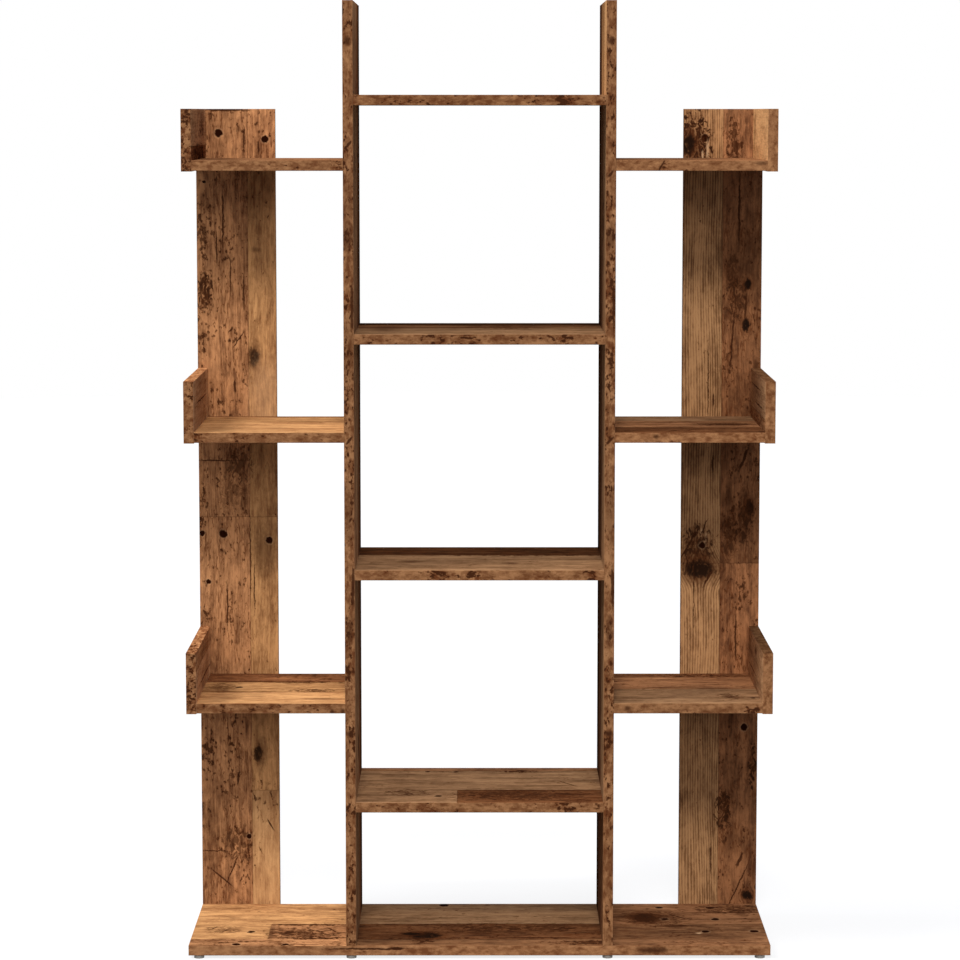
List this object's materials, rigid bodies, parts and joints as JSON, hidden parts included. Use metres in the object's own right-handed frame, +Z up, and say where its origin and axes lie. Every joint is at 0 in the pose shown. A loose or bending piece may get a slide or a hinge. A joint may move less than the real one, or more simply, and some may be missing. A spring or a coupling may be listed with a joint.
{
  "type": "bookcase",
  "caption": "Open bookcase of printed chipboard: base, tall dividers, centre shelves, side shelves with upright end guards, and strips behind the sides.",
  "frame": {"origin": "on the floor, below the middle of the whole bookcase", "axes": "+X to the right seen from the front, +Y to the back, +Z up"},
  "size_m": [0.86, 0.255, 1.405],
  "materials": {
    "board": "matt printed reclaimed-wood decor",
    "glide": "matt",
    "screw": "zinc plated"
  },
  "bodies": {
    "root": {"base_panel": "board", "centre_shelf_1": "board", "centre_shelf_2": "board", "centre_shelf_3": "board", "centre_shelf_4": "board", "left_divider": "board", "left_shelf_1": "board", "left_shelf_2": "board", "left_shelf_3": "board", "left_guard_1": "board", "left_guard_2": "board", "left_guard_3": "board", "left_back_strip": "board", "right_divider": "board", "right_shelf_1": "board", "right_shelf_2": "board", "right_shelf_3": "board", "right_guard_1": "board", "right_guard_2": "board", "right_guard_3": "board", "right_back_strip": "board", "left_front_glides": "glide", "left_back_glides": "glide", "right_front_glides": "glide", "right_back_glides": "glide", "left_divider_screws": "screw", "left_strip_screws": "screw", "right_divider_screws": "screw", "right_strip_screws": "screw"}
  },
  "joints": []
}
